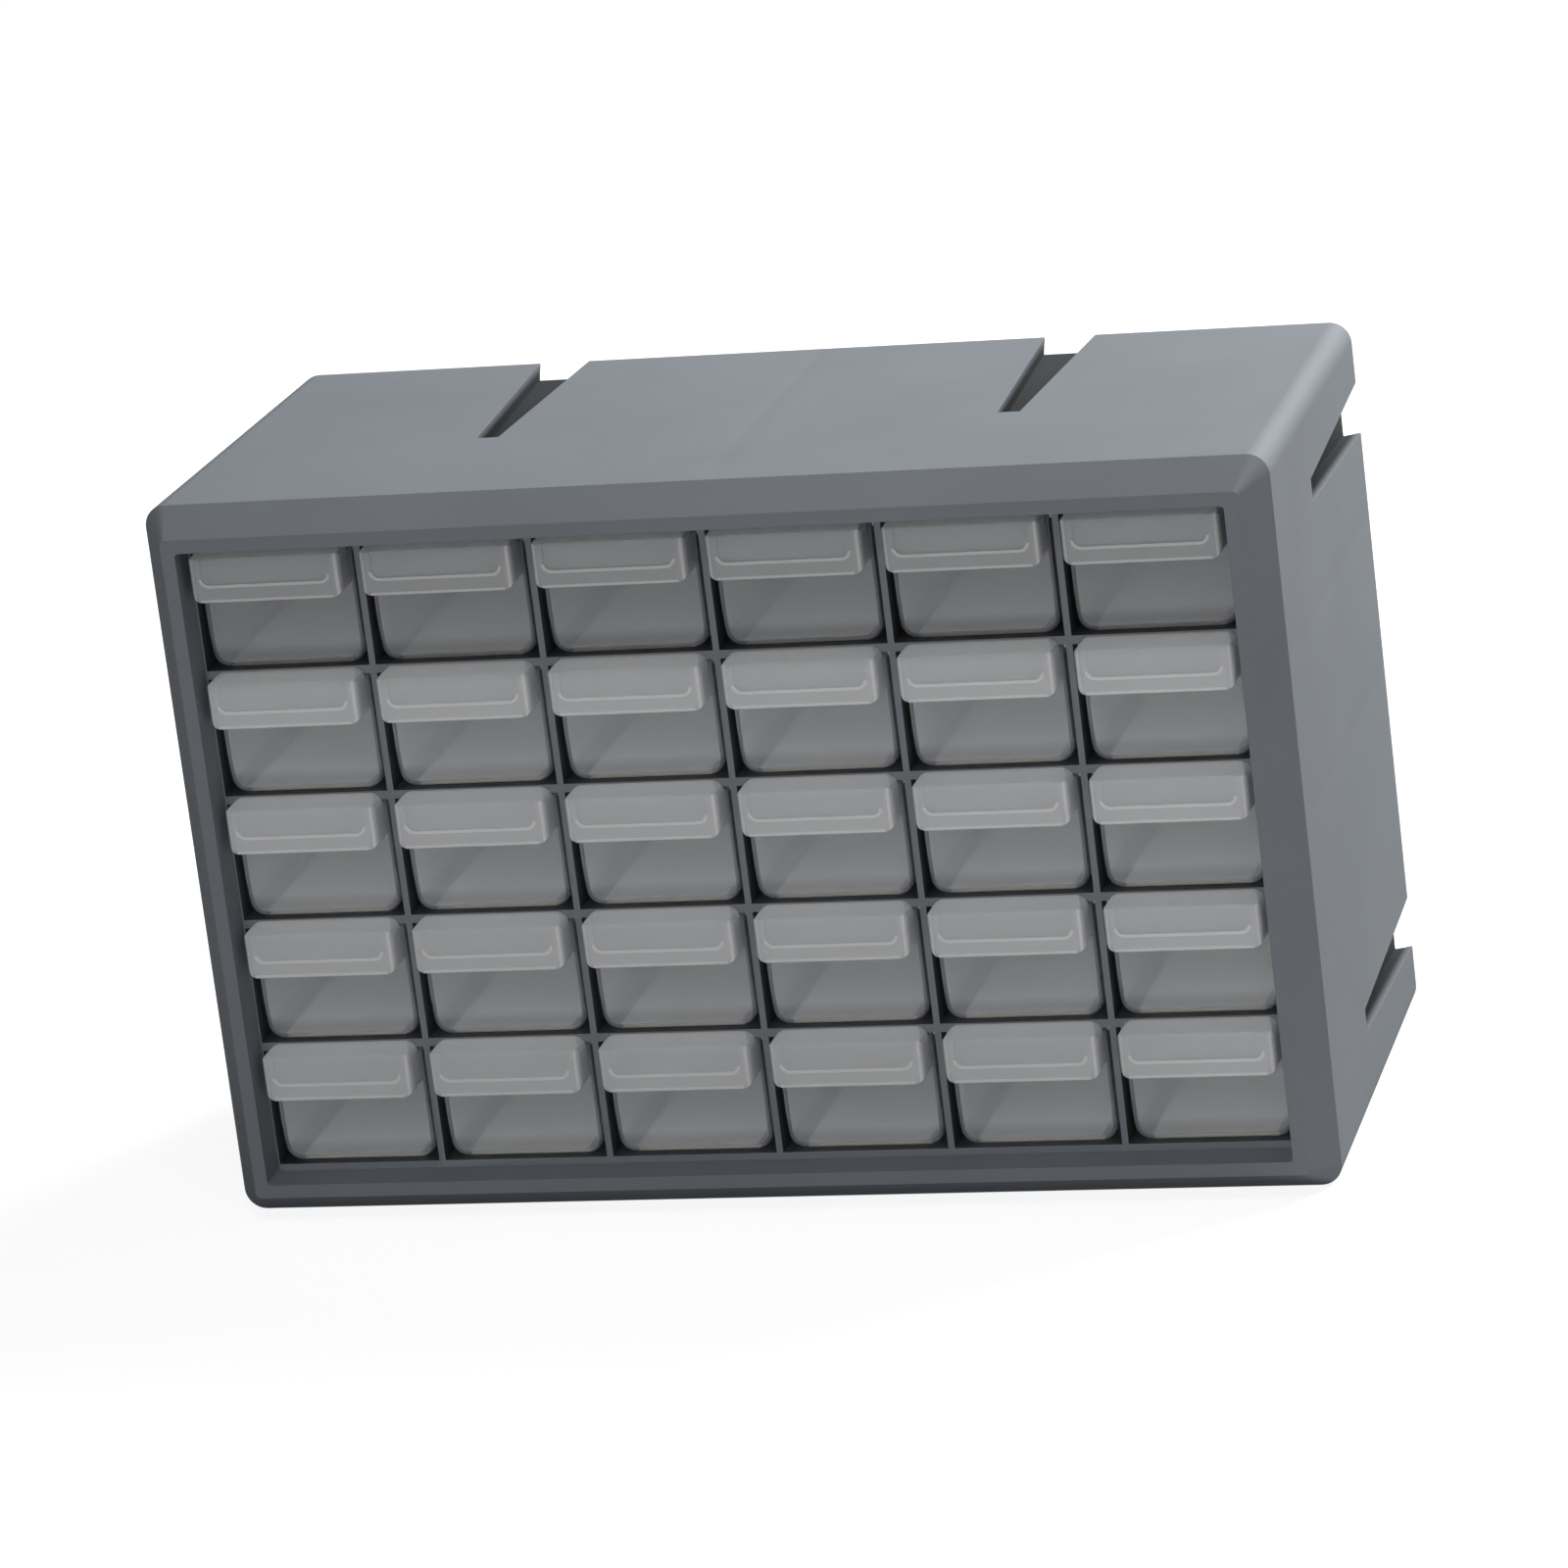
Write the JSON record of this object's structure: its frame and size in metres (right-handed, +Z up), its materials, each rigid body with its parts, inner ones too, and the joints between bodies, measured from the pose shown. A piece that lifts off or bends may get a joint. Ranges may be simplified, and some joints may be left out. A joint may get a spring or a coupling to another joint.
{
  "type": "small-parts drawer cabinet",
  "caption": "Desk cabinet of see-through small-parts drawers in a grey moulded casing with coupling slots and wall keyholes.",
  "frame": {"origin": "middle of the base, on the surface it stands on", "axes": "+X along the width to the viewer's right, +Y to the rear, +Z up; the drawers face -Y"},
  "size_m": [0.38, 0.177, 0.25],
  "materials": {
    "casing": "satin moulded polystyrene, fine even grain",
    "grid": "the same moulding, inside the cells",
    "drawer": "frosted see-through polypropylene"
  },
  "bodies": {
    "casing": {"front_frame": "casing", "top_skin": "casing", "bottom_skin": "casing", "left_skin": "casing", "right_skin": "casing", "top_liner": "grid", "bottom_liner": "grid", "left_liner": "grid", "right_liner": "grid", "back_wall": "grid", "floor_plate": "grid", "ceiling_plate": "grid", "shelf_1": "grid", "shelf_2": "grid", "shelf_3": "grid", "shelf_4": "grid", "divider_1": "grid", "divider_2": "grid", "divider_3": "grid", "divider_4": "grid", "divider_5": "grid"},
    "drawer_r1_c1": {"drawer_r1_c1": "drawer"},
    "drawer_r1_c2": {"drawer_r1_c2": "drawer"},
    "drawer_r1_c3": {"drawer_r1_c3": "drawer"},
    "drawer_r1_c4": {"drawer_r1_c4": "drawer"},
    "drawer_r1_c5": {"drawer_r1_c5": "drawer"},
    "drawer_r1_c6": {"drawer_r1_c6": "drawer"},
    "drawer_r2_c1": {"drawer_r2_c1": "drawer"},
    "drawer_r2_c2": {"drawer_r2_c2": "drawer"},
    "drawer_r2_c3": {"drawer_r2_c3": "drawer"},
    "drawer_r2_c4": {"drawer_r2_c4": "drawer"},
    "drawer_r2_c5": {"drawer_r2_c5": "drawer"},
    "drawer_r2_c6": {"drawer_r2_c6": "drawer"},
    "drawer_r3_c1": {"drawer_r3_c1": "drawer"},
    "drawer_r3_c2": {"drawer_r3_c2": "drawer"},
    "drawer_r3_c3": {"drawer_r3_c3": "drawer"},
    "drawer_r3_c4": {"drawer_r3_c4": "drawer"},
    "drawer_r3_c5": {"drawer_r3_c5": "drawer"},
    "drawer_r3_c6": {"drawer_r3_c6": "drawer"},
    "drawer_r4_c1": {"drawer_r4_c1": "drawer"},
    "drawer_r4_c2": {"drawer_r4_c2": "drawer"},
    "drawer_r4_c3": {"drawer_r4_c3": "drawer"},
    "drawer_r4_c4": {"drawer_r4_c4": "drawer"},
    "drawer_r4_c5": {"drawer_r4_c5": "drawer"},
    "drawer_r4_c6": {"drawer_r4_c6": "drawer"},
    "drawer_r5_c1": {"drawer_r5_c1": "drawer"},
    "drawer_r5_c2": {"drawer_r5_c2": "drawer"},
    "drawer_r5_c3": {"drawer_r5_c3": "drawer"},
    "drawer_r5_c4": {"drawer_r5_c4": "drawer"},
    "drawer_r5_c5": {"drawer_r5_c5": "drawer"},
    "drawer_r5_c6": {"drawer_r5_c6": "drawer"}
  },
  "joints": [
    {"name": "r1_c1_slide", "type": "slide", "parent": "casing", "child": "drawer_r1_c1", "axis": [0, -1, 0], "range_m": [0, 0.12]},
    {"name": "r1_c2_slide", "type": "slide", "parent": "casing", "child": "drawer_r1_c2", "axis": [0, -1, 0], "range_m": [0, 0.12]},
    {"name": "r1_c3_slide", "type": "slide", "parent": "casing", "child": "drawer_r1_c3", "axis": [0, -1, 0], "range_m": [0, 0.12]},
    {"name": "r1_c4_slide", "type": "slide", "parent": "casing", "child": "drawer_r1_c4", "axis": [0, -1, 0], "range_m": [0, 0.12]},
    {"name": "r1_c5_slide", "type": "slide", "parent": "casing", "child": "drawer_r1_c5", "axis": [0, -1, 0], "range_m": [0, 0.12]},
    {"name": "r1_c6_slide", "type": "slide", "parent": "casing", "child": "drawer_r1_c6", "axis": [0, -1, 0], "range_m": [0, 0.12]},
    {"name": "r2_c1_slide", "type": "slide", "parent": "casing", "child": "drawer_r2_c1", "axis": [0, -1, 0], "range_m": [0, 0.12]},
    {"name": "r2_c2_slide", "type": "slide", "parent": "casing", "child": "drawer_r2_c2", "axis": [0, -1, 0], "range_m": [0, 0.12]},
    {"name": "r2_c3_slide", "type": "slide", "parent": "casing", "child": "drawer_r2_c3", "axis": [0, -1, 0], "range_m": [0, 0.12]},
    {"name": "r2_c4_slide", "type": "slide", "parent": "casing", "child": "drawer_r2_c4", "axis": [0, -1, 0], "range_m": [0, 0.12]},
    {"name": "r2_c5_slide", "type": "slide", "parent": "casing", "child": "drawer_r2_c5", "axis": [0, -1, 0], "range_m": [0, 0.12]},
    {"name": "r2_c6_slide", "type": "slide", "parent": "casing", "child": "drawer_r2_c6", "axis": [0, -1, 0], "range_m": [0, 0.12]},
    {"name": "r3_c1_slide", "type": "slide", "parent": "casing", "child": "drawer_r3_c1", "axis": [0, -1, 0], "range_m": [0, 0.12]},
    {"name": "r3_c2_slide", "type": "slide", "parent": "casing", "child": "drawer_r3_c2", "axis": [0, -1, 0], "range_m": [0, 0.12]},
    {"name": "r3_c3_slide", "type": "slide", "parent": "casing", "child": "drawer_r3_c3", "axis": [0, -1, 0], "range_m": [0, 0.12]},
    {"name": "r3_c4_slide", "type": "slide", "parent": "casing", "child": "drawer_r3_c4", "axis": [0, -1, 0], "range_m": [0, 0.12]},
    {"name": "r3_c5_slide", "type": "slide", "parent": "casing", "child": "drawer_r3_c5", "axis": [0, -1, 0], "range_m": [0, 0.12]},
    {"name": "r3_c6_slide", "type": "slide", "parent": "casing", "child": "drawer_r3_c6", "axis": [0, -1, 0], "range_m": [0, 0.12]},
    {"name": "r4_c1_slide", "type": "slide", "parent": "casing", "child": "drawer_r4_c1", "axis": [0, -1, 0], "range_m": [0, 0.12]},
    {"name": "r4_c2_slide", "type": "slide", "parent": "casing", "child": "drawer_r4_c2", "axis": [0, -1, 0], "range_m": [0, 0.12]},
    {"name": "r4_c3_slide", "type": "slide", "parent": "casing", "child": "drawer_r4_c3", "axis": [0, -1, 0], "range_m": [0, 0.12]},
    {"name": "r4_c4_slide", "type": "slide", "parent": "casing", "child": "drawer_r4_c4", "axis": [0, -1, 0], "range_m": [0, 0.12]},
    {"name": "r4_c5_slide", "type": "slide", "parent": "casing", "child": "drawer_r4_c5", "axis": [0, -1, 0], "range_m": [0, 0.12]},
    {"name": "r4_c6_slide", "type": "slide", "parent": "casing", "child": "drawer_r4_c6", "axis": [0, -1, 0], "range_m": [0, 0.12]},
    {"name": "r5_c1_slide", "type": "slide", "parent": "casing", "child": "drawer_r5_c1", "axis": [0, -1, 0], "range_m": [0, 0.12]},
    {"name": "r5_c2_slide", "type": "slide", "parent": "casing", "child": "drawer_r5_c2", "axis": [0, -1, 0], "range_m": [0, 0.12]},
    {"name": "r5_c3_slide", "type": "slide", "parent": "casing", "child": "drawer_r5_c3", "axis": [0, -1, 0], "range_m": [0, 0.12]},
    {"name": "r5_c4_slide", "type": "slide", "parent": "casing", "child": "drawer_r5_c4", "axis": [0, -1, 0], "range_m": [0, 0.12]},
    {"name": "r5_c5_slide", "type": "slide", "parent": "casing", "child": "drawer_r5_c5", "axis": [0, -1, 0], "range_m": [0, 0.12]},
    {"name": "r5_c6_slide", "type": "slide", "parent": "casing", "child": "drawer_r5_c6", "axis": [0, -1, 0], "range_m": [0, 0.12]}
  ]
}
